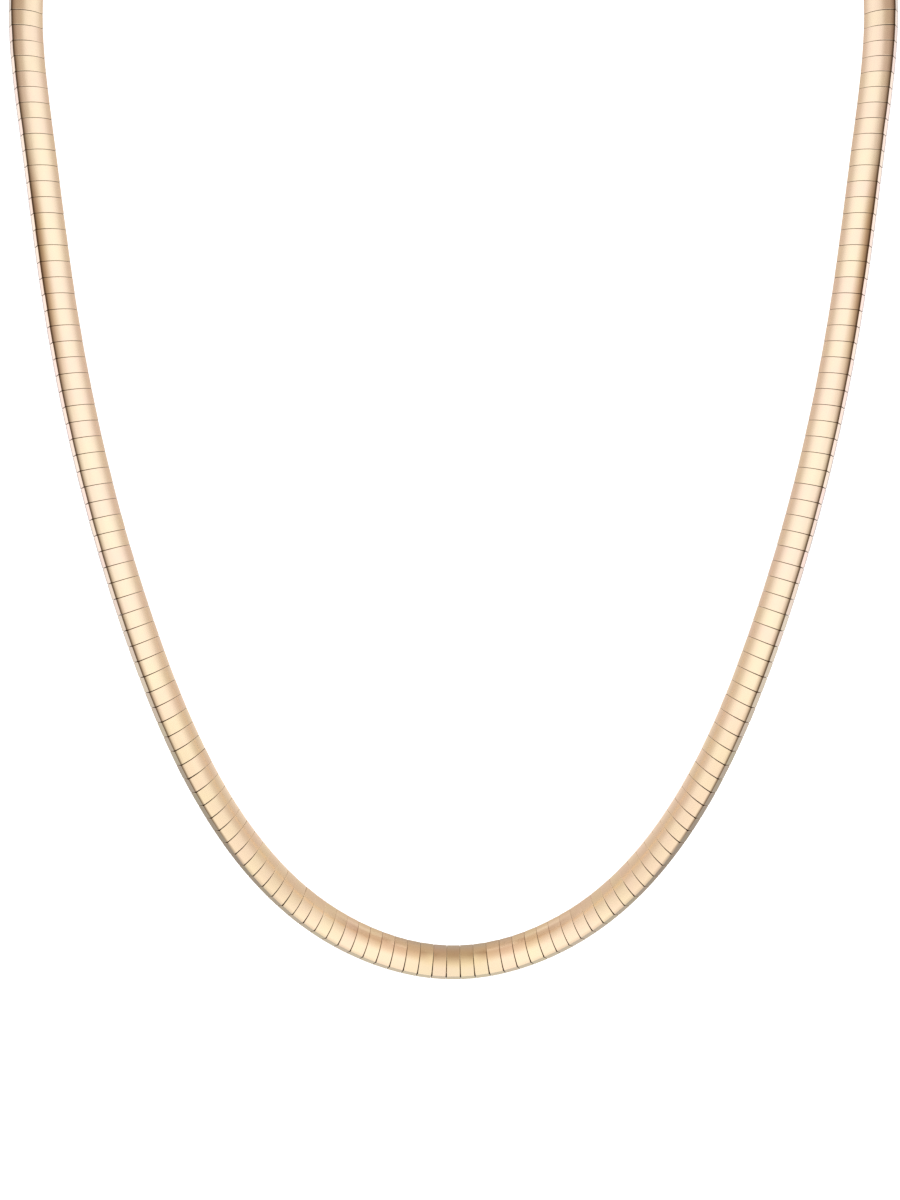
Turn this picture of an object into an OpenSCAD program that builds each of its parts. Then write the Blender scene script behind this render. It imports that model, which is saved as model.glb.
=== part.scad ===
// Omega chain necklace: domed metal plates side by side on a flat woven core, closed by a box
// clasp at the nape. It is modelled in the curve that it keeps when it is worn. The origin is
// the middle of the clasp's underside, where the necklace sits on the back of the neck.
// +Z is up, -Y is the wearer's front, and millimetres are used throughout.

/* [Loop] */
// Length round the whole loop, clasp included
loop_len = 432; // [408:4:508]

/* [Plates] */
// Width across the band
band_w = 4; // [3.8:0.1:4.4]
// Thickness of the sheet that a plate is pressed from
sheet_t = 0.28; // [0.24:0.02:0.32]
// Rise of a plate's dome above its two long corners
dome_rise = 0.42; // [0.3:0.02:0.5]
// Height of a plate's side walls, from the corners down
wall_h = 1.1; // [1:0.05:1.3]
// Reach of the lips that are folded in under the core, from the outside of the walls
lip_w = 0.8; // [0.6:0.05:1]
// Gap between one plate and the next
plate_gap = 0.12; // [0.1:0.01:0.16]

/* [Steps] */
// Step from plate to plate at the front
front_step = 1.62; // [1.56:0.02:1.8]
// Step from plate to plate along the back
side_step = 2.02; // [1.9:0.02:2.2]
// Distance from the front middle where the plates have their full length
long_run = 110; // [90:5:130]

/* [Core] */
// Gap between the woven core and the plates or the clasp round it
core_gap = 0.15; // [0.13:0.01:0.16]

/* [Clasp] */
// Length of the clasp's box
box_len = 9; // [8:0.5:11]
// Width of the clasp's box
box_w = 4.8; // [4.6:0.1:5.2]
// Length of each end cap that holds an end of the core
cap_len = 3; // [2.6:0.1:3.4]
// Depth of the pocket in an end cap
pocket = 1.8; // [1.4:0.1:2]

/* [Hidden] */
$fn = 96;

// Guide points of the right half, from the front middle to the nape. The band runs past them as
// a cubic B-spline, and the left half is its mirror image.
// columns: across, back, up, and the direction that the plates face: across, back, up
GUIDES = [
    [0, -130.2, -76.8, 0, -0.26, 0.97],
    [11.6, -130, -72.2, -0.55, -0.37, 0.75],
    [21.6, -129.2, -61.8, -0.64, -0.52, 0.56],
    [30.2, -124.6, -47.6, -0.54, -0.52, 0.67],
    [36.8, -114.4, -33.8, -0.46, -0.38, 0.8],
    [42.4, -99, -23.2, -0.46, -0.36, 0.81],
    [46.6, -80.2, -14, -0.44, -0.37, 0.82],
    [49, -61.2, -6, -0.41, -0.31, 0.86],
    [51.8, -42.6, -0.2, -0.34, -0.09, 0.94],
    [48, -25, 2, -0.16, 0.18, 0.97],
    [36.4, -10.8, 1.6, -0.02, 0.43, 0.9],
    [19.6, -2, 0.6, 0.03, 0.63, 0.78],
    [0, 1, 0, 0, 0.7, 0.72],
];
SPANS = len(GUIDES) - 1;
MIRROR = [-1, 1, 1, -1, 1, 1];
LEFT = [for (k = [SPANS - 1:-1:1]) [for (c = [0:5]) GUIDES[k][c] * MIRROR[c]]];
LOOP = concat(GUIDES, LEFT);

// The B-spline, by its place u: 0 is the front middle, SPANS the nape, and the left is negative
function guide(k) = LOOP[(k + 4 * SPANS) % (2 * SPANS)];
function rise(t) = 1 + 3 * t + 3 * t ^ 2 - 3 * t ^ 3;
function weights(t) = [(1 - t) ^ 3, rise(1 - t), rise(t), t ^ 3] / 6;
function blended(u) = let (k = floor(u)) weights(u - k) * [for (j = [-1:2]) guide(k + j)];
function place(u) = let (b = blended(u)) [b[0], b[1], b[2]];
function faced(u) = let (b = blended(u)) [b[3], b[4], b[5]];

// Distances along the half loop, scaled so that the whole loop is loop_len long
FINE = 16;
TRACE = [for (i = [0:SPANS * FINE]) place(i / FINE)];
function leg(i) = i + 1 < len(TRACE) ? norm(TRACE[i + 1] - TRACE[i]) : 0;
RUNS = [for (i = 0, run = 0; i < len(TRACE); run = run + leg(i), i = i + 1) run];
half_len = loop_len / 2;
scale_up = half_len / RUNS[len(RUNS) - 1];
RUN_TO_U = [for (i = [0:len(RUNS) - 1]) [RUNS[i] * scale_up, i / FINE]];
function u_at(run) = sign(run) * lookup(abs(run), RUN_TO_U);

// The band's own directions at u: along it, out of its face, and across it away from the middle
function unit(v) = v / norm(v);
function along(u) = unit(place(u + 0.01) - place(u - 0.01));
function out_of(u) = let (f = faced(u), t = along(u)) unit(f - (f * t) * t);

// The clasp's underside at the nape, which is shifted to the origin
box_under = wall_h + 0.15;
NAPE = place(SPANS) * scale_up - out_of(SPANS) * box_under;

// Puts its children on the band: X across it, Y out of its face, Z back towards the front middle
module on_band(run) {
    u = u_at(run);
    t = along(u);
    n = out_of(u);
    a = cross(t, n);
    p = place(u) * scale_up - NAPE;
    multmatrix([[a.x, n.x, -t.x, p.x], [a.y, n.y, -t.y, p.y], [a.z, n.z, -t.z, p.z]])
        children();
}

// Joints between the plates of one half, as distances from the front middle. The middle plate
// lies across the front, and the last joint is where the clasp starts. The steps lengthen fast
// near the front and ever more slowly up the sides.
clasp_start = half_len - box_len / 2 - cap_len;
plates_end = clasp_start - plate_gap;
function step_at(run) = front_step + (side_step - front_step) * sqrt(min(run / long_run, 1));
STEPS = [for (run = front_step / 2; run < plates_end + side_step / 2; run = run + step_at(run)) run];
JOINTS = STEPS * (plates_end / STEPS[len(STEPS) - 1]);

// Room for the core inside the plates, and the core's own size
dome_r = (band_w ^ 2 / 4 + dome_rise ^ 2) / (2 * dome_rise);
core_w = band_w - 2 * (sheet_t + core_gap);
room_top = dome_rise - dome_r + sqrt((dome_r - sheet_t) ^ 2 - core_w ^ 2 / 4);
room_floor = sheet_t - wall_h;
core_t = room_top - room_floor - 2 * core_gap;
core_mid = (room_top + room_floor) / 2;
core_end = clasp_start + pocket - core_gap;

// Section of a bar with straight walls under an arc, its long corners at height 0
module domed(w, r, depth) {
    top = r - dome_r + dome_rise;
    intersection() {
        translate([0, dome_rise - dome_r])
            circle(r);
        translate([-w / 2, -depth])
            square([w, depth + top]);
    }
}

// Section of a plate: a dome with two walls, and lips folded in under the core
module plate_section() {
    difference() {
        domed(band_w, dome_r, wall_h);
        domed(band_w - 2 * sheet_t, dome_r - sheet_t, wall_h - sheet_t);
        translate([lip_w - band_w / 2, -wall_h - 1])
            square([band_w - 2 * lip_w, 1.5]);
    }
}

// Everything past a joint, on its far side (+1) or its near side (-1)
module past(run, side) {
    reach = band_w;
    on_band(run)
        translate([0, 0, -side * (reach - plate_gap) / 2])
            cube([2 * band_w, 2 * band_w, reach], center = true);
}

// One plate from one joint to the next, its ends cut square to the band at the joints
module plate(from, to) {
    difference() {
        on_band((from + to) / 2)
            linear_extrude(to - from + 0.4, center = true)
                plate_section();
        past(from, -1);
        past(to, 1);
    }
}

// The right half's plates, with the middle one
module plates_right() {
    color("#f3d9a8") {
        plate(-JOINTS[0], JOINTS[0]);
        for (k = [1:len(JOINTS) - 1])
            plate(JOINTS[k - 1], JOINTS[k]);
    }
}

// The left half's plates
module plates_left() {
    color("#eccf9c")
        for (k = [1:len(JOINTS) - 1])
            plate(-JOINTS[k], -JOINTS[k - 1]);
}

// The flat woven core as one swept solid, with a ring at every joint
module woven_core() {
    flat = core_w / 2 - core_t / 3;
    SECTION = [
        [core_w / 2, core_mid],
        [flat, core_mid + core_t / 2],
        [-flat, core_mid + core_t / 2],
        [-core_w / 2, core_mid],
        [-flat, core_mid - core_t / 2],
        [flat, core_mid - core_t / 2],
    ];
    sides = len(SECTION);
    HALF = concat(JOINTS, core_end);
    RINGS = concat([for (k = [len(HALF) - 1:-1:0]) -HALF[k]], HALF);
    function corner(u, c) = place(u) * scale_up - NAPE + cross(along(u), out_of(u)) * c.x + out_of(u) * c.y;
    last = (len(RINGS) - 1) * sides;
    color("#c9a66b")
        polyhedron(
            points = [for (run = RINGS) let (u = u_at(run)) for (c = SECTION) corner(u, c)],
            faces = concat(
                [[for (i = [0:sides - 1]) i]],
                [for (r = [0:len(RINGS) - 2], i = [0:sides - 1])
                    let (a = r * sides, j = (i + 1) % sides) [a + i, a + sides + i, a + sides + j]],
                [for (r = [0:len(RINGS) - 2], i = [0:sides - 1])
                    let (a = r * sides, j = (i + 1) % sides) [a + i, a + sides + j, a + j]],
                [[for (i = [sides - 1:-1:0]) last + i]]
            )
        );
}

// The box clasp at the nape, closed, with an end cap on each side that takes an end of the core
module clasp() {
    cap_w = band_w + 0.2;
    lap = 0.6;
    color("#e6c88f")
        difference() {
            union() {
                on_band(half_len)
                    linear_extrude(box_len, center = true)
                        domed(box_w, dome_r + 0.15, box_under);
                for (side = [-1, 1])
                    on_band(side * (clasp_start + cap_len / 2))
                        translate([0, 0, -side * lap / 2])
                            linear_extrude(cap_len + lap, center = true)
                                domed(cap_w, dome_r + 0.05, wall_h + 0.05);
            }
            for (side = [-1, 1])
                on_band(side * clasp_start)
                    translate([0, core_mid, 0])
                        cube([core_w + 2 * core_gap, core_t + 2 * core_gap, 2 * pocket], center = true);
        }
}

plates_right();
plates_left();
woven_core();
clasp();
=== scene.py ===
# %% [markdown]
# # An omega chain in pale gold
# An omega chain is a row of short domed plates, pressed round a flat woven core so that the core
# hides inside them. From the front it looks like one smooth bent ribbon of gold with a fine line
# at every plate. This lesson builds it piece by piece. The exact solids of the part are loaded
# first and never changed. They fix the size and the place of everything that follows.

# %% Load the frame
import math
import bpy
import numpy as np
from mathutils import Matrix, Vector


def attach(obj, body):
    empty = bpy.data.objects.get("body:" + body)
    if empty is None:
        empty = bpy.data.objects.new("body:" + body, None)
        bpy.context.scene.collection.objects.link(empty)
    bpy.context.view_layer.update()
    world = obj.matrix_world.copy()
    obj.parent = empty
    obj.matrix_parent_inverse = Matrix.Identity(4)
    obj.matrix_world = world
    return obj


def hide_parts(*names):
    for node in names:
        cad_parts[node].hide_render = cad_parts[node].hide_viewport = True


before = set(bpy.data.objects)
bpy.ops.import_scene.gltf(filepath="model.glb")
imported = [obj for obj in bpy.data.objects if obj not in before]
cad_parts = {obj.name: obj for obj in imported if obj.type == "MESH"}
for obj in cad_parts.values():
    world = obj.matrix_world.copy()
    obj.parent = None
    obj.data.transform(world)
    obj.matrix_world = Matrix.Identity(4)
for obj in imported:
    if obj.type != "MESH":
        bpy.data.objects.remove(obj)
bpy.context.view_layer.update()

print("nodes:", sorted(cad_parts))

# %% [markdown]
# ## The way round the neck
# The chain keeps the curve that it is worn in. One short table of guide points describes the
# right half, from the front middle to the nape, and the left half is its mirror image. A cubic
# B-spline runs smoothly past the points. Each row also says which way the plates face there,
# because a band needs a direction as well as a place. The same table made the solids, so what
# is built here lies exactly where they lie.

# %% The guide table and the spline
MM = 0.001
loop_len = 432.0
# columns: across, back, up, and the direction that the plates face: across, back, up
GUIDES = np.array([
    [0, -130.2, -76.8, 0, -0.26, 0.97],
    [11.6, -130, -72.2, -0.55, -0.37, 0.75],
    [21.6, -129.2, -61.8, -0.64, -0.52, 0.56],
    [30.2, -124.6, -47.6, -0.54, -0.52, 0.67],
    [36.8, -114.4, -33.8, -0.46, -0.38, 0.8],
    [42.4, -99, -23.2, -0.46, -0.36, 0.81],
    [46.6, -80.2, -14, -0.44, -0.37, 0.82],
    [49, -61.2, -6, -0.41, -0.31, 0.86],
    [51.8, -42.6, -0.2, -0.34, -0.09, 0.94],
    [48, -25, 2, -0.16, 0.18, 0.97],
    [36.4, -10.8, 1.6, -0.02, 0.43, 0.9],
    [19.6, -2, 0.6, 0.03, 0.63, 0.78],
    [0, 1, 0, 0, 0.7, 0.72],
])
SPANS = len(GUIDES) - 1
MIRROR = np.array([-1, 1, 1, -1, 1, 1])
LOOP = np.vstack([GUIDES, GUIDES[SPANS - 1:0:-1] * MIRROR])


def blended(u):
    """The spline at u, where 0 is the front middle, SPANS the nape, and the left is negative."""
    u = np.atleast_1d(np.asarray(u, float))
    k = np.floor(u).astype(int)
    t = (u - k)[:, None]
    weights = [
        (1 - t) ** 3,
        4 - 6 * t ** 2 + 3 * t ** 3,
        1 + 3 * t + 3 * t ** 2 - 3 * t ** 3,
        t ** 3,
    ]
    return sum(w * LOOP[(k + j - 1) % (2 * SPANS)] for j, w in enumerate(weights)) / 6


def unit(v):
    return v / np.linalg.norm(v, axis=-1, keepdims=True)


def dot(a, b):
    return (a * b).sum(axis=-1, keepdims=True)


# %% Distances along the chain
FINE = 16
trace = blended(np.arange(SPANS * FINE + 1) / FINE)[:, :3]
runs = np.concatenate([[0], np.cumsum(np.linalg.norm(np.diff(trace, axis=0), axis=1))])
half_len = loop_len / 2
scale_up = half_len / runs[-1]


def u_at(run):
    return np.sign(run) * np.interp(np.abs(run), runs * scale_up, np.arange(len(runs)) / FINE)


def directions(u, nudge=0.01):
    """The band's own directions at u: across it, out of its face and along it."""
    along = unit(blended(u + nudge)[:, :3] - blended(u - nudge)[:, :3])
    face = blended(u)[:, 3:]
    out = unit(face - dot(face, along) * along)
    return np.cross(along, out), out, along


wall_h = 1.1
# how far the clasp's box stands proud of the plates
box_proud = 0.15
box_under = wall_h + box_proud
NAPE = blended(SPANS)[0, :3] * scale_up - directions(np.array([float(SPANS)]))[1][0] * box_under


def band(run):
    """Places on the band and its directions there, for distances from the front middle, in mm."""
    run = np.atleast_1d(np.asarray(run, float))
    u = u_at(run)
    across, out, along = directions(u)
    return blended(u)[:, :3] * scale_up - NAPE, across, out, along


print("front middle in mm:", np.round(band(0)[0][0], 2), "nape:", np.round(band(half_len)[0][0], 2))

# %% [markdown]
# ## Where the plates meet
# The plates are a little shorter at the front, where the chain bends most. They grow longer up
# the sides, fast at first and then ever more slowly. The list of joints starts at the middle
# plate, which lies across the front, and ends where the clasp starts. The rule is the one that
# made the solids.

# %% The joints between the plates
plate_gap = 0.12
front_step = 1.62
side_step = 2.02
long_run = 110.0
box_len = 9.0
box_w = 4.8
cap_len = 3.0
pocket = 1.8
core_gap = 0.15
clasp_start = half_len - box_len / 2 - cap_len
plates_end = clasp_start - plate_gap


def step_at(run):
    return front_step + (side_step - front_step) * math.sqrt(min(run / long_run, 1))


steps = [front_step / 2]
while steps[-1] + step_at(steps[-1]) < plates_end + side_step / 2:
    steps.append(steps[-1] + step_at(steps[-1]))
JOINTS = np.array(steps) * (plates_end / steps[-1])
print("joints on each side:", len(JOINTS), "last one at", round(JOINTS[-1], 2), "mm")

# %% [markdown]
# ## One plate
# Each plate is pressed from thin sheet: a domed top, two straight walls, and two lips folded in
# under the core. The section is drawn once as a closed line round the sheet, with its outside
# and its inside in pairs so that the cut ends can be filled between them. A real pressed plate
# has no knife edge anywhere, so the long corners, the folds and the tips of the lips are small
# arcs. Every point also keeps the direction that the surface faces there. With those
# directions the plate shades like a true curve, and a few facets are enough.

# %% The section of a plate
band_w = 4.0
sheet_t = 0.28
dome_rise = 0.42
lip_w = 0.8
corner_r = 0.08
fold_r = 0.2
inner_r = 0.03
# points that keep the facets even: one on the lip before its fold, and two shares of the wall
before_fold = 0.08
WALL_SHARES = (0.62, 0.3)
ARC_POINTS = 5
DOME_POINTS = 10
half_w = band_w / 2
dome_r = (half_w ** 2 + dome_rise ** 2) / (2 * dome_rise)
dome_y = dome_rise - dome_r


def arc_points(cx, cy, r, start, end, count):
    """Points on an arc with the direction that each faces; angles in degrees from +X."""
    angles = np.radians(np.linspace(start, end, count))
    facing = np.stack([np.cos(angles), np.sin(angles)], 1)
    return np.hstack([np.array([cx, cy]) + r * facing, facing])


def shell_side(inset, r_corner, r_fold, sign):
    """The right half of the outside or the inside of the sheet, from the lip's tip to the crown."""
    w = half_w - inset
    r = dome_r - inset
    floor = -wall_h + inset
    corner_x = w - r_corner
    corner_y = dome_y + math.sqrt((r - r_corner) ** 2 - corner_x ** 2)
    lean = math.degrees(math.asin(corner_x / (r - r_corner)))
    lip_ends = (half_w - lip_w + sheet_t / 2, w - r_fold - before_fold)
    lip = [[x, floor, 0, -1] for x in lip_ends]
    fold = arc_points(w - r_fold, floor + r_fold, r_fold, -90, 0, ARC_POINTS)
    wall = [[w, -share * wall_h, 1, 0] for share in WALL_SHARES]
    corner = arc_points(corner_x, corner_y, r_corner, 0, 90 - lean, ARC_POINTS)
    dome = arc_points(0, dome_y, r, 90 - lean, 90, DOME_POINTS)[1:]
    side = np.vstack([lip, fold, wall, corner, dome])
    side[:, 2:] *= sign
    return side


def both_sides(side):
    """The right half and its mirror image, with the crown only once."""
    left = side[-2::-1] * np.array([-1, 1, -1, 1])
    return np.vstack([side, left])


outside = both_sides(shell_side(0, corner_r, fold_r, 1))
inside = both_sides(shell_side(sheet_t, inner_r, inner_r, -1))
tip_x = half_w - lip_w
tip_y = sheet_t / 2 - wall_h
tip_right = np.array([[tip_x, tip_y, -1, 0]])
tip_left = tip_right * np.array([-1, 1, -1, 1])
SECTION = np.vstack([outside, tip_left, inside[::-1], tip_right])
pairs = len(outside)
print("points round the sheet:", len(SECTION))

# %% [markdown]
# At the cut ends, the lower corners of the walls and the long corners are rounded in side view.
# `setback` holds how far each point of the section stays back from the plate's end. Only the
# outside of the fold is cut back. The lips and the inside reach the joint, so that no light
# falls through between two plates.

# %% How far each point stays back from the end
wall_corner_r = 0.22
long_corner_back = 0.015
crown_share = 0.85
LIP_POINTS = 2
drop = np.clip(-(outside[:, 1] + wall_h - wall_corner_r), 0, wall_corner_r)
back_low = wall_corner_r - np.sqrt(wall_corner_r ** 2 - drop ** 2)
back_low[:LIP_POINTS] = 0
back_low[-LIP_POINTS:] = 0
# 0 on the crown and the lips, rising to 1 at the long corner and staying 1 on the wall
near_corner = np.clip((np.abs(outside[:, 0]) / half_w - crown_share) / (1 - crown_share), 0, 1)
back_corner = long_corner_back * near_corner ** 2
setback = np.concatenate([back_low + back_corner, [0], back_corner[::-1], [0]])
print("setback at crown and fold in mm:", round(setback[pairs // 2], 3), round(setback.max(), 3))

# %% [markdown]
# ## All plates of one side
# A plate is the section pushed straight along its own stretch of the band, and its ends lie in
# the planes of its two joints. The real plates are straight pieces on a bent core, so at the
# front they fan out: they nearly touch on the inside of the bend and open on the outside. The
# gap therefore grows across the band with the turn from plate to plate, and down the walls it
# nearly closes, because the wall of each plate is pressed a little over the next. On the inside
# of the two bends the plates press together, so `openness` lets their joints fade there. Each
# end has a small rounded edge, made of a few stations where the section shrinks a little while
# it runs out. No two plates are pressed quite alike, so each gets its own tiny roll, pitch and
# tone, from a seeded random source so that every run gives the same chain.

# %% A plate as points
END_R = 0.05
END_TURNS = np.radians([90, 60, 30, 0])
# the least gap anywhere, and the gap at the crown where the band runs straight
least_gap = 0.008
straight_gap = 0.029
# the share of the turn that opens the gap, and how far inside the crown the gap is least
wedge_share = 0.76
shut_at = 1.5
# how far down the walls a gap has closed
closed_down = 0.25
roll_spread = math.radians(0.55)
pitch_spread = math.radians(0.3)
# the height that a plate rolls and pitches about
CORE_DEPTH = -0.48
# columns: distance from the front middle, and how far the joints are pressed shut on the inside
PRESSED = [(0, 0.45), (10, 0.5), (16, 0.78), (36, 0.78), (46, 0)]
# where the pressing starts, a little outside the crown; 1 mm further in it is full
press_from = 0.2


def turn_at(run, reach=1.0):
    """How much the band turns in its own plane for each mm of its length, at a joint."""
    before, after = band(run - reach), band(run + reach)
    return float(dot(before[3][0] - after[3][0], band(run)[1][0])[0]) / (2 * reach)


def openness(run, x):
    """How open a joint is, from 0 to 1: on the inside of the bends the plates press together."""
    distances, shares = zip(*PRESSED)
    inner_share = np.clip(press_from - x, 0, 1)
    return 1 - np.interp(abs(run), distances, shares) * inner_share


def half_gaps(run, step, x, y):
    """Half the gap at a joint: it fans out across the band and nearly closes down the walls."""
    fan = turn_at(run) * step * wedge_share
    middle = max(straight_gap, least_gap + abs(fan) * shut_at)
    gap = least_gap + np.maximum(middle + fan * x - least_gap, 0) * openness(run, x)
    down = np.clip(-y / closed_down, 0, 1)
    return (gap * (1 - down) + least_gap * down) / 2


def plate_points(start, end, roll, pitch):
    """Points and facings of one plate, station by station from its start to its end."""
    place, across, out, along = (v[0] for v in band((start + end) / 2))
    turned_along = unit(along + math.tan(pitch) * out)
    turned_across = unit(across * math.cos(roll) + out * math.sin(roll))
    turned_out = np.cross(turned_across, turned_along)
    origin = place + CORE_DEPTH * (out - turned_out)
    x, y, nx, ny = (SECTION[:, k:k + 1] for k in range(4))
    points, facings = [], []
    for run, side, turns in ((start, 1, END_TURNS), (end, -1, END_TURNS[::-1])):
        joint_place, _, _, joint_along = (v[0] for v in band(run))
        base = origin + x * turned_across + y * turned_out
        reach = dot(joint_place - base, joint_along) / dot(turned_along, joint_along)
        room = half_gaps(run, end - start, x, y) + setback[:, None]
        for turn in turns:
            inset = END_R * (1 - math.cos(turn))
            s = reach + side * (room + END_R * (1 - math.sin(turn)))
            shrink = inset * (nx * turned_across + ny * turned_out)
            points.append(base - shrink + s * turned_along)
            facing = nx * turned_across + ny * turned_out
            facings.append(math.cos(turn) * facing - side * math.sin(turn) * turned_along)
    return np.array(points), np.array(facings)


# %% Joining the plates of one side into one mesh
stations = 2 * len(END_TURNS)
ring = len(SECTION)


def skin(rings, ring_points):
    """The four-sided faces between the rings of a swept form."""
    faces = []
    for r in range(rings - 1):
        a, b = r * ring_points, (r + 1) * ring_points
        for i in range(ring_points):
            j = (i + 1) % ring_points
            faces.append((a + i, b + i, b + j, a + j))
    return faces


def plate_faces():
    """Faces of one plate: its skin between the stations, and the two cut ends."""
    faces = skin(stations, ring)
    for first, flip in ((0, False), ((stations - 1) * ring, True)):
        inner = [ring - 2 - i for i in range(pairs)]
        strip = [(i, i + 1, inner[i + 1], inner[i]) for i in range(pairs - 1)]
        strip.append((ring - 1, 0, inner[0]))
        strip.append((pairs - 1, pairs, inner[pairs - 1]))
        for f in strip:
            f = tuple(first + i for i in f)
            faces.append(f[::-1] if flip else f)
    return faces


def new_object(name, points_mm, faces, facings=None):
    """A mesh object in metres, smooth, with its own facings where they are given."""
    mesh = bpy.data.meshes.new(name)
    mesh.from_pydata((np.asarray(points_mm) * MM).tolist(), [], faces)
    mesh.shade_smooth()
    if facings is not None:
        mesh.normals_split_custom_set_from_vertices(unit(np.asarray(facings)).tolist())
    obj = bpy.data.objects.new(name, mesh)
    bpy.context.scene.collection.objects.link(obj)
    return obj


def point_value(obj, name, values):
    layer = obj.data.attributes.new(name, "FLOAT", "POINT")
    layer.data.foreach_set("value", np.asarray(values, np.float32))


def surface_map(obj, across, along):
    """A UV map in mm: across the band and along it, for grain that follows the metal."""
    layer = obj.data.uv_layers.new(name="band")
    loops = np.zeros(len(obj.data.loops), np.int32)
    obj.data.loops.foreach_get("vertex_index", loops)
    layer.data.foreach_set("uv", np.stack([across, along], 1)[loops].astype(np.float32).ravel())


def girths(section):
    """How far round the section each of its points lies from the first one."""
    legs = np.linalg.norm(np.diff(section[:, :2], axis=0), axis=1)
    return np.concatenate([[0], np.cumsum(legs)])


# counted from the crown for the map in mm
plate_girths = girths(SECTION)
plate_girths -= plate_girths[pairs // 2]
# painted shade: none on the outside, full on the inside of the sheet, and half at the lips' tips
hollow_ring = np.concatenate([np.zeros(pairs), [0.5], np.ones(pairs), [0.5]])
# the painted shade on the end's edge starts late on the dome and early at the long corners and on the walls
dome_power = 4.0
corner_power = 1.4
near_all = np.concatenate([near_corner, [0], near_corner[::-1], [0]])
end_power = dome_power + (corner_power - dome_power) * near_all
# from the rosiest plate to the yellowest
TONES = (0.12, 0.88)


def plates(name, spans, seed):
    """One mesh of all plates between the joints in spans."""
    rng = np.random.default_rng(seed)
    points, facings, faces, tones, hollows, across, along = ([] for _ in range(7))
    one = plate_faces()
    ends = np.sin(np.concatenate([END_TURNS, END_TURNS[::-1]]))[:, None]
    share = np.repeat([0.0, 1.0], len(END_TURNS))
    for start, end in spans:
        roll, pitch = rng.normal(0, 1, 2) * (roll_spread, pitch_spread)
        p, f = plate_points(start, end, roll, pitch)
        base = len(points) * stations * ring
        points.append(p.reshape(-1, 3))
        facings.append(f.reshape(-1, 3))
        faces += [tuple(base + i for i in face) for face in one]
        tones.append(np.full(stations * ring, rng.uniform(*TONES)))
        # painted shade at the two cut ends, weaker where the plates press together on the inside of the
        # bends
        opens = [openness(run, SECTION[:, 0]) for run in (start, end)]
        edges = ends ** end_power * np.repeat(opens, len(END_TURNS), axis=0)
        hollows.append(np.maximum(hollow_ring, edges).ravel())
        across.append(np.tile(plate_girths, stations))
        along.append(np.repeat(start + (end - start) * share, ring))
    obj = new_object(name, np.vstack(points), faces, np.vstack(facings))
    point_value(obj, "tone", np.concatenate(tones))
    point_value(obj, "hollow", np.concatenate(hollows))
    surface_map(obj, np.concatenate(across), np.concatenate(along))
    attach(obj, "root")
    print(name, len(spans), "plates,", sum(len(f) - 2 for f in faces), "triangles")
    return obj


right_spans = [(-JOINTS[0], JOINTS[0])] + list(zip(JOINTS[:-1], JOINTS[1:]))
left_spans = [(-b, -a) for a, b in zip(JOINTS[:-1], JOINTS[1:])]
right_plates = plates("domed_plates_right", right_spans, seed=11)
left_plates = plates("domed_plates_left", left_spans, seed=23)
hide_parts("plates_right")
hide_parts("plates_left")
print("turn at the front in degrees a mm:", round(math.degrees(turn_at(0)), 2))

# %% [markdown]
# ## The woven core
# The core is a flat strap woven of fine gold wire. It shows between the lips on the underside
# and as a dark bed in the gaps. Every wire as a mesh of its own would cost millions of
# triangles, so the strap is one swept skin whose height follows a rule: columns of slanting
# wires side by side, leaning alternately left and right, as in a plaited braid.

# %% The core's size and its weave
core_w = band_w - 2 * (sheet_t + core_gap)
room_top = dome_y + math.sqrt((dome_r - sheet_t) ** 2 - core_w ** 2 / 4)
room_floor = sheet_t - wall_h
core_t = room_top - room_floor - 2 * core_gap
core_mid = (room_top + room_floor) / 2
core_end = clasp_start + pocket - core_gap
COLUMNS = 4
wire_pitch = 0.95
wire_depth = 0.05
samples_per_wire = 5
across_count = 21
# in shares of the pitch: how far a wire slants over its column, and each column's own shift
wire_slant = 0.8
column_shift = 0.25
# a power under 1 makes the wires full and their grooves narrow; the bulge rounds each column
wire_power = 0.7
column_bulge = 0.85


def weave_height(x, run):
    """Height of the wires at a place on the strap, from 0 in the grooves to 1 on a wire."""
    column = (x / core_w + 0.5) * COLUMNS
    number = np.clip(np.floor(column), 0, COLUMNS - 1)
    inside_column = column - number
    lean = np.where(number % 2 == 0, 1.0, -1.0)
    phase = run / wire_pitch + lean * (inside_column - 0.5) * wire_slant + column_shift * number
    wire = np.abs(np.cos(math.pi * phase)) ** wire_power
    crown = np.sqrt(np.clip(1 - (2 * inside_column - 1) ** 2 * column_bulge, 0, 1))
    return wire * crown


# %% Sweeping the core
count = int(round(2 * core_end / wire_pitch * samples_per_wire)) + 1
core_runs = np.linspace(-core_end, core_end, count)
core_place, core_across, core_out, _ = (v[:, None] for v in band(core_runs))
# the strap's long edges slope over a third of its thickness
flat = core_w / 2 - core_t / 3
top_x = np.linspace(flat, -flat, across_count)
core_x = np.concatenate([[core_w / 2], top_x, [-core_w / 2], top_x[::-1]])
side_up = np.ones(across_count)
core_up = np.concatenate([[0], side_up, [0], -side_up])
height = weave_height(core_x[None, :], core_runs[:, None])
thick = core_t / 2 - wire_depth * (1 - height)
core_y = core_mid + core_up[None, :] * thick
core_points = core_place + core_x[None, :, None] * core_across + core_y[..., None] * core_out
core_ring = len(core_x)
core_faces = skin(count, core_ring)
core_faces.append(tuple(range(core_ring)))
core_faces.append(tuple((count - 1) * core_ring + i for i in reversed(range(core_ring))))
core = new_object("woven_strap", core_points.reshape(-1, 3), core_faces)
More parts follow.
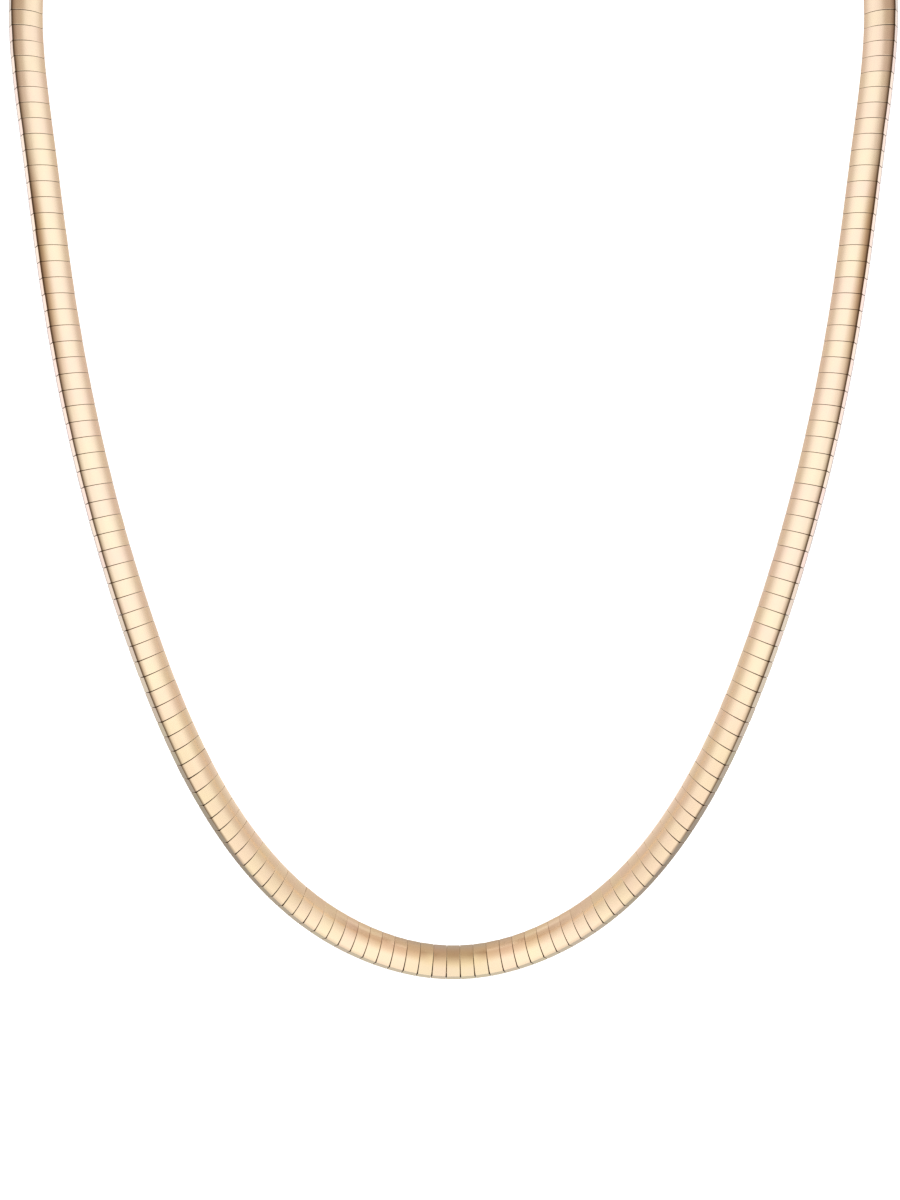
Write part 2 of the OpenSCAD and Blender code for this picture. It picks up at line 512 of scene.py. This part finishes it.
# the wires waver between the two alloys, once in about 7 mm
waver_rate = 0.9
core_tone = 0.5 + 0.5 * np.sin(core_runs * waver_rate)[:, None] * np.ones(core_ring)
point_value(core, "tone", core_tone.ravel())
# painted shade in the grooves between the wires
point_value(core, "hollow", (1 - height).ravel())
surface_map(core, np.tile(core_x, count), np.repeat(core_runs, core_ring))
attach(core, "root")
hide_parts("woven_core")
print("core in mm:", round(core_w, 2), round(core_t, 2), "triangles:", sum(len(f) - 2 for f in core_faces))

# %% [markdown]
# ## The clasp
# At the nape a box clasp closes the loop: a shallow box that takes a tongue, with an end cap on
# each side that holds the end of the core. It is worn closed, so it is one piece here. It is
# lofted through a few sections in a row, like the hull of a boat: cap, step up to the box, a
# fine seam where the tongue goes in, box, step down, cap. Steps, edges and the seam are all
# stations of the same loft.

# %% The clasp's sections
CLASP_ARC = 6
CLASP_DOME = 7


def bar_section(w, r, depth, corner):
    """A closed bar under an arc, its corners rounded, as points with facings."""
    corner_x = w / 2 - corner
    corner_y = dome_y + math.sqrt((r - corner) ** 2 - corner_x ** 2)
    lean = math.degrees(math.asin(corner_x / (r - corner)))
    low = arc_points(corner_x, corner - depth, corner, -90, 0, CLASP_ARC)
    high = arc_points(corner_x, corner_y, corner, 0, 90 - lean, CLASP_ARC)
    dome = arc_points(0, dome_y, r, 90 - lean, 90, CLASP_DOME)[1:]
    return both_sides(np.vstack([low, high, dome]))


cap_w = band_w + 0.2
cap_proud = 0.05
box_section = bar_section(box_w, dome_r + box_proud, box_under, corner=0.22)
cap_section = bar_section(cap_w, dome_r + cap_proud, wall_h + cap_proud, corner=0.16)
# the pocket has as many points as the cap, so that the two join; then its top and bottom are levelled
flat_r = 40.0
pocket_section = bar_section(core_w + 2 * core_gap, flat_r, wall_h, corner=0.05)
pocket_top = core_mid + core_t / 2 + core_gap
pocket_bottom = core_mid - core_t / 2 - core_gap
pocket_section[:, 1] = np.where(pocket_section[:, 1] > 0, pocket_top, pocket_bottom)


def rounded(section, s, r):
    """Stations of a rounded edge at s: the section shrinks while it runs out to s."""
    turns = np.radians([0, 30, 60, 90])
    return [(section, s - r * (1 - math.sin(t)), r * (1 - math.cos(t))) for t in turns]


print("points round the clasp:", len(box_section))

# %% Lofting the clasp
box_edge = 0.18
cap_edge = 0.1
seam_at = 2.6
seam_w = 0.13
seam_deep = 0.07
# the seam's floor starts and ends at these shares of its width
SEAM_FLOOR = (0.3, 0.7)
half_box = box_len / 2
half_cap = cap_len / 2
box_frame = [v[0] for v in band(half_len)]


def rings_at(rows, frame_here, side):
    """A ring of points for each row of section, distance towards the front, and inset."""
    place, across, out, along = frame_here
    points = []
    for section, s, inset in rows:
        x, y, nx, ny = (section[:, k:k + 1] for k in range(4))
        points.append(place + (x - inset * nx) * across + (y - inset * ny) * out - side * s * along)
    return points


def clasp_half(side):
    """Rings of one half, from the middle of the box to the floor of the cap's pocket."""
    rows = [(box_section, 0.0, 0.0)]
    if side > 0:
        rows.append((box_section, seam_at, 0.0))
        rows += [(box_section, seam_at + share * seam_w, seam_deep) for share in SEAM_FLOOR]
        rows.append((box_section, seam_at + seam_w, 0.0))
    rows += rounded(box_section, half_box, box_edge)
    cap_rows = [(cap_section, -half_cap, 0.0)]
    cap_rows += rounded(cap_section, half_cap, cap_edge)
    cap_rows.append((pocket_section, half_cap, 0.0))
    cap_rows.append((pocket_section, half_cap - pocket, 0.0))
    cap_frame = [v[0] for v in band(side * (clasp_start + half_cap))]
    return rings_at(rows, box_frame, side) + rings_at(cap_rows, cap_frame, side)


rings = clasp_half(-1)[::-1] + clasp_half(1)[1:]
clasp_ring = len(box_section)
# these rings run against the band's own direction, so the faces between them are turned over
clasp_faces = [(a, d, c, b) for a, b, c, d in skin(len(rings), clasp_ring)]
clasp_faces.append(tuple(reversed(range(clasp_ring))))
clasp_faces.append(tuple((len(rings) - 1) * clasp_ring + i for i in range(clasp_ring)))
clasp = new_object("box_clasp", np.vstack(rings), clasp_faces)
weighted = clasp.modifiers.new("flat faces stay flat", "WEIGHTED_NORMAL")
weighted.weight = 80
clasp_along = np.repeat([float(dot(r[0] - box_frame[0], box_frame[3])[0]) for r in rings], clasp_ring)
surface_map(clasp, np.tile(girths(box_section), len(rings)), clasp_along)
point_value(clasp, "tone", np.full(len(rings) * clasp_ring, 0.5))
point_value(clasp, "hollow", np.zeros(len(rings) * clasp_ring))
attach(clasp, "root")
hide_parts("clasp")
print("clasp:", len(rings), "stations,", sum(len(f) - 2 for f in clasp_faces), "triangles")

# %% [markdown]
# ## Finishes
# Gold is a metal, so its colour is the colour of its reflections. What makes it look real is
# what changes over the surface: tiny differences of alloy and polish from plate to plate, a
# fine grain left by the polishing wheel, and painted shade in the joints and hollows. Each of
# these effects is a node group with named sockets, and each material places the group with
# its own values.

# %% Helpers for node groups


def new_group(name, inputs, outputs):
    """A shader node group with typed sockets; returns the tree and its in and out nodes."""
    tree = bpy.data.node_groups.new(name, "ShaderNodeTree")
    for socket, (kind, value) in inputs.items():
        made = tree.interface.new_socket(socket, in_out="INPUT", socket_type=kind)
        made.default_value = value
    for socket, kind in outputs.items():
        tree.interface.new_socket(socket, in_out="OUTPUT", socket_type=kind)
    return tree, tree.nodes.new("NodeGroupInput"), tree.nodes.new("NodeGroupOutput")


def feed(tree, socket, value):
    """Sets a socket to a plain value, or links the output of another node to it."""
    if isinstance(value, (int, float, tuple)):
        socket.default_value = value
    else:
        tree.links.new(value, socket)


def math_node(tree, operation, a, b=None, clamp=False):
    node = tree.nodes.new("ShaderNodeMath")
    node.operation = operation
    node.use_clamp = clamp
    feed(tree, node.inputs[0], a)
    if b is not None:
        feed(tree, node.inputs[1], b)
    return node.outputs[0]


def smooth(tree, value, low, high):
    """A soft step from 0 at low to 1 at high; the limits are numbers or outputs."""
    node = tree.nodes.new("ShaderNodeMapRange")
    node.interpolation_type = "SMOOTHSTEP"
    feed(tree, node.inputs["Value"], value)
    feed(tree, node.inputs["From Min"], low)
    feed(tree, node.inputs["From Max"], high)
    return node.outputs[0]


def attribute(tree, name):
    node = tree.nodes.new("ShaderNodeAttribute")
    node.attribute_name = name
    return node.outputs["Fac"]


# the mix node lists the sockets of every kind of value, so those for colours go by number
MIX_SHARE = 0
MIX_A = 6
MIX_B = 7
MIX_RESULT = 2


def mixed(tree, share, a, b, blend="MIX"):
    node = tree.nodes.new("ShaderNodeMix")
    node.data_type = "RGBA"
    node.blend_type = blend
    feed(tree, node.inputs[MIX_SHARE], share)
    feed(tree, node.inputs[MIX_A], a)
    feed(tree, node.inputs[MIX_B], b)
    return node.outputs[MIX_RESULT]


def band_map(tree):
    """The map in mm that every mesh carries."""
    node = tree.nodes.new("ShaderNodeUVMap")
    node.uv_map = "band"
    return node.outputs[0]


def across_and_along(tree):
    """The two distances that the map holds: across the band and along it."""
    node = tree.nodes.new("ShaderNodeSeparateXYZ")
    tree.links.new(band_map(tree), node.inputs[0])
    return node.outputs[0], node.outputs[1]


def noise(tree, vector, scale, detail):
    node = tree.nodes.new("ShaderNodeTexNoise")
    node.inputs["Scale"].default_value = scale
    node.inputs["Detail"].default_value = detail
    tree.links.new(vector, node.inputs["Vector"])
    return node.outputs["Fac"]


# %% [markdown]
# The polish group makes the grain. Polishing runs along the band, so the scratches are noise
# that is stretched along it: fine across, long along. The map in mm that each mesh carries is
# what the noise is read from, so the grain follows every bend. It puts out a height for a bump
# and a roughness that wavers a little.

# %% The polish group


def make_polish():
    tree, inp, out = new_group(
        "satin_polish",
        {
            "Grain": ("NodeSocketFloat", 9.0),
            "Stretch": ("NodeSocketFloat", 0.12),
            "Roughness": ("NodeSocketFloat", 0.2),
            "Waver": ("NodeSocketFloat", 0.05),
        },
        {"Height": "NodeSocketFloat", "Roughness": "NodeSocketFloat"},
    )
    across_band, along_band = across_and_along(tree)
    fine = math_node(tree, "MULTIPLY", across_band, inp.outputs["Grain"])
    drawn = math_node(tree, "MULTIPLY", inp.outputs["Grain"], inp.outputs["Stretch"])
    length = math_node(tree, "MULTIPLY", along_band, drawn)
    join = tree.nodes.new("ShaderNodeCombineXYZ")
    tree.links.new(fine, join.inputs[0])
    tree.links.new(length, join.inputs[1])
    scratches = noise(tree, join.outputs[0], scale=1.0, detail=4.0)
    clouds = noise(tree, band_map(tree), scale=0.8, detail=2.0)
    both = math_node(tree, "ADD", scratches, clouds)
    centred = math_node(tree, "SUBTRACT", both, 1.0)
    change = math_node(tree, "MULTIPLY", centred, inp.outputs["Waver"])
    rough = math_node(tree, "ADD", inp.outputs["Roughness"], change, clamp=True)
    tree.links.new(scratches, out.inputs["Height"])
    tree.links.new(rough, out.inputs["Roughness"])
    return tree


POLISH = make_polish()
print("group:", POLISH.name, [s.name for s in POLISH.interface.items_tree])

# %% [markdown]
# The tint group chooses between a rosier and a yellower gold by each plate's own tone. A soft
# cloud over the surface keeps one plate from being one flat colour.

# %% The tint group


def make_tint():
    tree, inp, out = new_group(
        "alloy_tint",
        {
            "Rosy": ("NodeSocketColor", (1.0, 0.6, 0.42, 1)),
            "Yellow": ("NodeSocketColor", (1.0, 0.7, 0.44, 1)),
            "Cloud": ("NodeSocketFloat", 0.3),
        },
        {"Color": "NodeSocketColor"},
    )
    clouds = noise(tree, band_map(tree), scale=0.7, detail=3.0)
    centred = math_node(tree, "SUBTRACT", clouds, 0.5)
    cloud = math_node(tree, "MULTIPLY", centred, inp.outputs["Cloud"])
    share = math_node(tree, "ADD", attribute(tree, "tone"), cloud, clamp=True)
    tree.links.new(mixed(tree, share, inp.outputs["Rosy"], inp.outputs["Yellow"]), out.inputs["Color"])
    return tree


TINT = make_tint()
print("group:", TINT.name)

# %% [markdown]
# The hollow shade group paints shade where little light reaches: the inside of the sheet, the cut
# ends and the grooves of the weave. The painted shade fades out over the rounded edge of each cut end.

# %% The painted hollow shade group


def make_hollow_shade():
    tree, inp, out = new_group(
        "painted_hollow_shade",
        {
            "Color": ("NodeSocketColor", (1.0, 0.7, 0.5, 1)),
            "Seam Color": ("NodeSocketColor", (0.2, 0.1, 0.04, 1)),
            "Amount": ("NodeSocketFloat", 0.8),
        },
        {"Color": "NodeSocketColor"},
    )
    # painted shade: the colour turns towards the shade colour by the hollow mask and the amount
    share = math_node(tree, "MULTIPLY", attribute(tree, "hollow"), inp.outputs["Amount"], clamp=True)
    tree.links.new(mixed(tree, share, inp.outputs["Color"], inp.outputs["Seam Color"]), out.inputs["Color"])
    return tree


HOLLOW_SHADE = make_hollow_shade()
print("group:", HOLLOW_SHADE.name)

# %% [markdown]
# The stripe group marks a stripe of the band by its place on the map in mm: from one distance
# to another across the band, and only between two distances from the front middle. Both edges
# of the stripe and both its ends are soft steps, so a stripe never looks painted on. It puts
# out a mask alone, and the material decides what the masked gold looks like.

# %% The stripe group


def make_stripe():
    tree, inp, out = new_group(
        "band_stripe",
        {
            "Soft From": ("NodeSocketFloat", 1.4),
            "Full At": ("NodeSocketFloat", 2.0),
            "Off From": ("NodeSocketFloat", 2.03),
            "Off At": ("NodeSocketFloat", 2.08),
            "Starts": ("NodeSocketFloat", 20.0),
            "Started": ("NodeSocketFloat", 30.0),
            "Ends": ("NodeSocketFloat", 230.0),
            "Ended": ("NodeSocketFloat", 240.0),
            "Amount": ("NodeSocketFloat", 0.8),
        },
        {"Mask": "NodeSocketFloat"},
    )
    across_band, along_band = across_and_along(tree)
    sockets = inp.outputs
    outwards = math_node(tree, "MULTIPLY", across_band, -1.0)
    away = math_node(tree, "ABSOLUTE", along_band)
    rises = smooth(tree, outwards, sockets["Soft From"], sockets["Full At"])
    falls = math_node(tree, "SUBTRACT", 1.0, smooth(tree, outwards, sockets["Off From"], sockets["Off At"]))
    starts = smooth(tree, away, sockets["Starts"], sockets["Started"])
    ends = math_node(tree, "SUBTRACT", 1.0, smooth(tree, away, sockets["Ends"], sockets["Ended"]))
    width = math_node(tree, "MULTIPLY", rises, falls)
    length = math_node(tree, "MULTIPLY", starts, ends)
    mask = math_node(tree, "MULTIPLY", width, length)
    tree.links.new(math_node(tree, "MULTIPLY", mask, sockets["Amount"]), out.inputs["Mask"])
    return tree


STRIPE = make_stripe()
print("group:", STRIPE.name, len(STRIPE.nodes), "nodes")

# %% [markdown]
# ## The three golds
# The plates, the core and the clasp are the same alloy with different finishes: the plates are
# polished to a soft satin, the core is drawn wire that was rolled flat, and the clasp is
# brighter. Metallic is plainly 1 on the shader itself, because it is the same all over.

# %% Materials


def place_group(tree, group, **values):
    """Places a group with its own values; an underscore stands for a space in a socket's name."""
    node = tree.nodes.new("ShaderNodeGroup")
    node.node_tree = group
    for socket, value in values.items():
        node.inputs[socket.replace("_", " ")].default_value = value
    return node


grain_depth = 0.01


# seam is the colour of the painted shade in hollows and joints, and amount is its strength
def gold(name, rosy, yellow, cloud, seam, amount, grain, stretch, rough, waver, bump, stripes=()):
    """A gold; each stripe is a painted colour that the gold is multiplied by, with the values of its mask.
    """
    material = bpy.data.materials.new(name)
    material.use_nodes = True
    tree = material.node_tree
    shader = tree.nodes["Principled BSDF"]
    shader.inputs["Metallic"].default_value = 1.0
    tint = place_group(tree, TINT, Rosy=rosy, Yellow=yellow, Cloud=cloud)
    colour = tint.outputs["Color"]
    # painted shade and tint, stripe by stripe
    for paint_colour, values in stripes:
        stripe = place_group(tree, STRIPE, **values)
        colour = mixed(tree, stripe.outputs["Mask"], colour, paint_colour, "MULTIPLY")
    # painted shade in the hollows, at the cut ends and in the weave's grooves
    hollow_shaded = place_group(tree, HOLLOW_SHADE, Seam_Color=seam, Amount=amount)
    tree.links.new(colour, hollow_shaded.inputs["Color"])
    tree.links.new(hollow_shaded.outputs["Color"], shader.inputs["Base Color"])
    polish = place_group(tree, POLISH, Grain=grain, Stretch=stretch, Roughness=rough, Waver=waver)
    tree.links.new(polish.outputs["Roughness"], shader.inputs["Roughness"])
    relief = tree.nodes.new("ShaderNodeBump")
    relief.inputs["Strength"].default_value = bump
    relief.inputs["Distance"].default_value = grain_depth * MM
    tree.links.new(polish.outputs["Height"], relief.inputs["Height"])
    tree.links.new(relief.outputs["Normal"], shader.inputs["Normal"])
    return material


# %% [markdown]
# ## Painted shade, tint and lines on the plates
# Shade and tint are painted onto the plates in stripes. Each stripe has a colour that the gold is
# multiplied by. Distances across the band are in mm outwards from the crown: the long corner is
# at 2.06, the wall runs to 2.98, and the fold follows.
#
# - Two stripes make the dark line of the outer long corner and a painted shade beside it. The
#   line starts where the sides begin to rise. A faint one goes on into the front bends.
# - Painted shade darkens the outer half on the upper sides and, more lightly, in the front bends.
# - Painted shade makes the inner half darker and rosier beside the front middle, in three pieces that
#   overlap.
# - A very light yellow lies over the whole front, and a stronger one on the crown of its middle
#   plates.
# - The fold below the wall gets a blue-grey painted shade up the sides.

# %% The painted stripes
STRIPE_SOCKETS = (
    "Soft_From", "Full_At", "Off_From", "Off_At", "Starts", "Started", "Ends", "Ended", "Amount",
)
# further from the front middle than the chain reaches, for a stripe that doesn't end
PAST_CLASP = (230.0, 240.0)


def painted_stripe(colour, across, starts, ends=PAST_CLASP, amount=1.0):
    """The colour that a painted stripe multiplies the gold by, and its mask: its edges across the band, and
    where it starts and ends.
    """
    return (*colour, 1), dict(zip(STRIPE_SOCKETS, (*across, *starts, *ends, amount)))


# painted shade and tint on the plates, and the dark line of the outer long corner
PAINTED_STRIPES = {
    "corner_line": painted_stripe((0.15, 0.11, 0.075), (1.72, 2.03, 2.05, 2.11), (25.0, 39.0), amount=0.9),
    "corner_shade": painted_stripe((0.3, 0.215, 0.14), (1.33, 1.95, 2.05, 2.11), (38.0, 60.0), amount=0.65),
    "faint_line": painted_stripe((0.15, 0.11, 0.075), (1.6, 2.03, 2.05, 2.11), (4.0, 14.0), (24.0, 36.0), 0.25),
    "upper_shade": painted_stripe((0.68, 0.565, 0.45), (0.65, 1.62, 2.1, 2.2), (82.0, 106.0), (112.0, 124.0)),
    # painted shade: the inner half darker and rosier beside the front middle
    "far_inner_shade": painted_stripe((0.72, 0.63, 0.58), (0.9, -0.75, -0.95, -1.45), (6.8, 8.8), (12.0, 19.0)),
    "near_inner_shade": painted_stripe((0.72, 0.63, 0.58), (0.9, -0.55, -0.55, -1.05), (1.2, 4.0), (6.8, 8.8)),
    "warm_tint": painted_stripe((1.0, 0.985, 0.925), (-9.0, -8.0, 8.0, 9.0), (-2.0, -1.0), (50.0, 72.0)),
    "middle_tint": painted_stripe((1.0, 0.97, 0.86), (-1.6, -0.3, 0.4, 1.4), (-2.0, -1.0), (2.0, 6.0)),
    # painted shade: more of the rosier inner half beside the front middle
    "rosy_inner_shade": painted_stripe((0.96, 0.91, 0.86), (-1.5, -0.9, -0.1, 0.7), (2.5, 5.0), (9.5, 14.0)),
    # painted shade on the outer half in the front bends
    "bend_shade": painted_stripe((0.91, 0.89, 0.865), (0.1, 1.15, 2.0, 2.1), (17.0, 27.0), (44.0, 58.0)),
    # blue-grey painted shade on the fold up the sides
    "fold_shade": painted_stripe((0.66, 0.71, 0.8), (2.66, 2.84, 3.6, 3.8), (58.0, 76.0)),
}
print("films on the plates:", *PAINTED_STRIPES)

# %% The three golds and their pieces
PLATE_GOLD = gold(
    "plate_gold", rosy=(0.985, 0.775, 0.61, 1), yellow=(0.985, 0.82, 0.59, 1), cloud=1.1,
    seam=(0.2, 0.11, 0.045, 1), amount=0.88, grain=9.0, stretch=0.08,
    rough=0.2, waver=0.04, bump=0.15, stripes=PAINTED_STRIPES.values(),
)
# the core's gold is darker than the plates', partly as painted shade for the gaps where it shows
CORE_GOLD = gold(
    "core_gold", rosy=(0.85, 0.58, 0.37, 1), yellow=(0.9, 0.65, 0.4, 1), cloud=0.4,
    seam=(0.16, 0.09, 0.04, 1), amount=0.9, grain=14.0, stretch=0.3,
    rough=0.3, waver=0.1, bump=0.3,
)
CLASP_GOLD = gold(
    "clasp_gold", rosy=(1.0, 0.73, 0.54, 1), yellow=(1.0, 0.77, 0.53, 1), cloud=0.4,
    seam=(0.22, 0.12, 0.05, 1), amount=0.85, grain=7.0, stretch=0.1,
    rough=0.14, waver=0.04, bump=0.12,
)
for obj, material in (
    (right_plates, PLATE_GOLD),
    (left_plates, PLATE_GOLD),
    (core, CORE_GOLD),
    (clasp, CLASP_GOLD),
):
    obj.data.materials.append(material)
print("materials:", [m.name for m in (PLATE_GOLD, CORE_GOLD, CLASP_GOLD)])

# %% [markdown]
# ## Camera
# The picture is taken from the front and above with a long lens, so the loop shows almost
# without perspective and its upper part leaves the frame at the top. The camera looks at a
# point above the front middle, found from the route itself.

# %% The camera
view_up = math.radians(50)
camera_far = 2.4
frame_high = 142.9 * MM
aim_up = 42.97
aim_side = -0.4
toward_camera = np.array([0, -math.cos(view_up), math.sin(view_up)])
screen_up = np.array([0, math.sin(view_up), math.cos(view_up)])
aim = (band(0)[0][0] + aim_up * screen_up + np.array([aim_side, 0, 0])) * MM
sensor_w = 36.0
camera_data = bpy.data.cameras.new("camera")
camera_data.sensor_width = sensor_w
camera_data.lens = sensor_w * camera_far / frame_high
camera_data.clip_start = 0.1
camera_data.clip_end = 100.0
camera = bpy.data.objects.new("camera", camera_data)
bpy.context.scene.collection.objects.link(camera)
camera.location = Vector(aim + camera_far * toward_camera)
camera.rotation_euler = Vector(-toward_camera).to_track_quat("-Z", "Y").to_euler()
bpy.context.scene.camera = camera
print("lens:", round(camera_data.lens), "mm")

# %% [markdown]
# ## Floor
# The floor is a plain pale sheet far enough below that the thin chain throws no shadow on it.
# It glows a little so that it stays white. It is hidden from reflections, because what the
# metal mirrors is described all at once by the room in the next step.

# %% The floor
floor_z = -0.4
floor_size = 30.0
bpy.ops.mesh.primitive_plane_add(size=floor_size, location=(0, 0, floor_z))
floor = bpy.context.active_object
floor.name = "floor"
floor.visible_glossy = False
paper = bpy.data.materials.new("pale_floor")
paper.use_nodes = True
sheet = paper.node_tree.nodes["Principled BSDF"]
sheet.inputs["Base Color"].default_value = (0.9, 0.9, 0.9, 1)
sheet.inputs["Roughness"].default_value = 0.9
sheet.inputs["Emission Color"].default_value = (1, 1, 1, 1)
sheet.inputs["Emission Strength"].default_value = 0.6
floor.data.materials.append(paper)

# %% [markdown]
# ## The studio round the chain
# Gold shows what stands around it, so the light is what draws the ribbon. The front is filled
# evenly, and two wide soft boxes left and right of the camera give the cream stripes. Past them
# the room is tan and then bright again behind. Overhead it is dim, and grey high above. Below,
# pale paper lights the side walls and a darker table stands straight under the chain. All of it
# is one soft world light that depends on the direction alone. Directions are counted in degrees
# away from the line to the camera, sideways and upwards, as on a map of the studio. Wide
# sources without hard edges suit a smooth metal, because a small lamp would leave a hard spot.

# %% What stands where, as tables of angle and light
# columns: degrees to the side, and the light there as red, green and blue
SIDE_LIGHT = [
    (0, 0.98, 0.98, 0.96),
    (20, 1.00, 1.00, 0.98),
    (30, 1.06, 1.06, 1.05),
    (40, 1.14, 1.14, 1.14),
    (56, 1.12, 1.12, 1.12),
    (65, 1.02, 1.01, 1.00),
    (71, 0.91, 0.88, 0.86),
    (78, 0.73, 0.66, 0.61),
    (88, 0.66, 0.58, 0.53),
    (98, 0.71, 0.65, 0.63),
    (106, 0.87, 0.84, 0.86),
    (118, 1.15, 1.13, 1.26),
    (180, 1.20, 1.15, 1.30),
]
TOP_LIGHT = [
    (0, 0.43, 0.34, 0.28),
    (35, 0.59, 0.49, 0.41),
    (60, 0.68, 0.60, 0.52),
    (100, 0.70, 0.64, 0.59),
    (180, 1.00, 0.98, 0.98),
]
# red, green and blue of the light high above
HIGH_LIGHT = (0.46, 0.44, 0.46)
# columns: how far down, from 0 level to 1 straight down, and the light there
DOWN_LIGHT = [
    (0.46, 1.18, 1.14, 1.30),
    (0.52, 1.00, 1.00, 1.10),
    (0.58, 0.70, 0.75, 0.84),
    (0.66, 0.62, 0.65, 0.70),
    (0.76, 0.40, 0.42, 0.45),
    (0.90, 0.31, 0.31, 0.32),
    (0.97, 0.58, 0.60, 0.60),
    (1.00, 0.66, 0.68, 0.66),
]
# degrees from the line to the camera; straight behind the chain is half a turn
BEHIND = 180.0
# the overhead begins at overhead_from in front of the chain, and overhead_lift higher beside it
BESIDE = (8, 32)
overhead_from = 16.0
overhead_lift = 37.0
overhead_full = 57.5
HIGH_ABOVE = (68, 86)
# how far down the pale paper takes over, in the measure of its table
PAPER_FROM = (0.3, 0.44)
# a ramp's colours reach to 1 at most, so they hold the light divided by this level
world_level = 2.0
# straight at the camera nothing is divided by less than this
TINY = 0.001


# %% The room as a world light


def stops(tree, value, table, reach):
    """A colour ramp made from a table, for values from 0 to reach."""
    node = tree.nodes.new("ShaderNodeValToRGB")
    elements = node.color_ramp.elements
    elements.remove(elements[1])
    for k, (at, *light) in enumerate(table):
        element = elements[0] if k == 0 else elements.new(at / reach)
        element.position = at / reach
        element.color = [v / world_level for v in light] + [1.0]
    tree.links.new(value, node.inputs[0])
    return node.outputs[0]


def aligned(tree, direction, axis):
    """How far a direction points along an axis, from -1 to 1."""
    node = tree.nodes.new("ShaderNodeVectorMath")
    node.operation = "DOT_PRODUCT"
    tree.links.new(direction, node.inputs[0])
    node.inputs[1].default_value = tuple(axis)
    return node.outputs["Value"]


def room_light():
    """Soft boxes beside the camera, a tan room past them, a dim top and pale paper below."""
    world = bpy.data.worlds.new("room")
    world.use_nodes = True
    tree = world.node_tree
    tree.nodes.clear()
    high_grey = tuple(v / world_level for v in HIGH_LIGHT) + (1.0,)
    where = tree.nodes.new("ShaderNodeTexCoord").outputs["Generated"]
    sideways = math_node(tree, "ABSOLUTE", aligned(tree, where, (1, 0, 0)))
    upwards = aligned(tree, where, screen_up)
    forwards = aligned(tree, where, toward_camera)
    angle = math_node(tree, "MULTIPLY", math_node(tree, "ARCCOSINE", forwards), math.degrees(1))
    squared = math_node(tree, "MULTIPLY", forwards, forwards)
    off_axis = math_node(tree, "SQRT", math_node(tree, "SUBTRACT", 1.0, squared, clamp=True))
    spread = math_node(tree, "DIVIDE", angle, math_node(tree, "MAXIMUM", off_axis, TINY))
    side = math_node(tree, "MULTIPLY", sideways, spread)
    up = math_node(tree, "MULTIPLY", upwards, spread)
    lift = math_node(tree, "MULTIPLY", smooth(tree, side, *BESIDE), overhead_lift)
    top_from = math_node(tree, "ADD", lift, overhead_from)
    overhead = smooth(tree, up, top_from, overhead_full)
    share = math_node(tree, "DIVIDE", side, BEHIND)
    high = smooth(tree, up, *HIGH_ABOVE)
    top = mixed(tree, high, stops(tree, share, TOP_LIGHT, BEHIND), high_grey)
    front = mixed(tree, overhead, stops(tree, share, SIDE_LIGHT, BEHIND), top)
    down = aligned(tree, where, (0, 0, -1))
    low = smooth(tree, down, *PAPER_FROM)
    everywhere = mixed(tree, low, front, stops(tree, down, DOWN_LIGHT, 1))
    white = (1 / world_level,) * 3 + (1.0,)
    path = tree.nodes.new("ShaderNodeLightPath")
    shown = mixed(tree, path.outputs["Is Camera Ray"], everywhere, white)
    background = tree.nodes.new("ShaderNodeBackground")
    background.inputs["Strength"].default_value = world_level
    tree.links.new(shown, background.inputs["Color"])
    out = tree.nodes.new("ShaderNodeOutputWorld")
    tree.links.new(background.outputs[0], out.inputs[0])
    return world


bpy.context.scene.world = room_light()
bpy.context.scene.view_settings.view_transform = "Standard"
bpy.context.scene.view_settings.look = "None"
print("directions in the studio tables:", len(SIDE_LIGHT), len(TOP_LIGHT), len(DOWN_LIGHT))

# %% The end
print("the scene is built")
